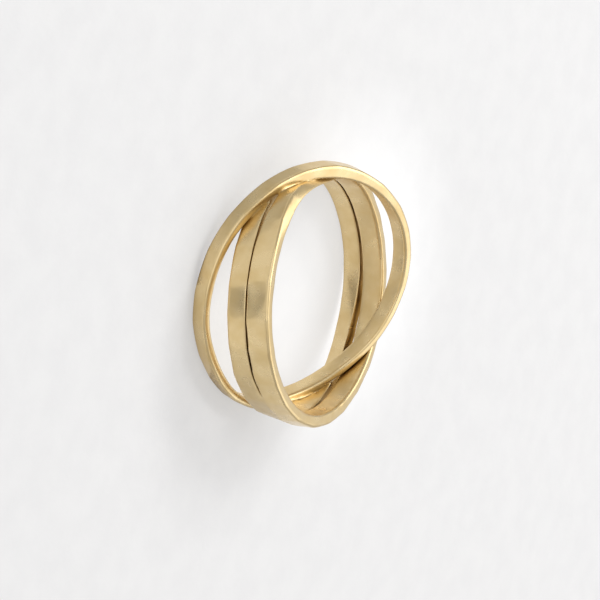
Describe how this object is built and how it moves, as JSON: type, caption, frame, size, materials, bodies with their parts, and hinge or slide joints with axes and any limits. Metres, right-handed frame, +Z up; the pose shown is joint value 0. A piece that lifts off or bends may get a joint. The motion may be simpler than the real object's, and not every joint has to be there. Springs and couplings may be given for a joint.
{
  "type": "finger ring",
  "caption": "Finger ring of flat, lightly hammered gold bands that lie side by side and cross at a slant, soldered into one body.",
  "frame": {"origin": "on the surface that the ring lies on, below the centre of its bounding box", "axes": "+Z up from that surface and close to the finger's axis, -Y towards the side that the picture shows, -X towards the outer crossing"},
  "size_m": [0.0202, 0.021, 0.0065],
  "materials": {
    "gold": "satin yellow metal, lightly hammered, with brighter rubbed edges"
  },
  "bodies": {
    "root": {"ring": "gold"}
  },
  "joints": []
}
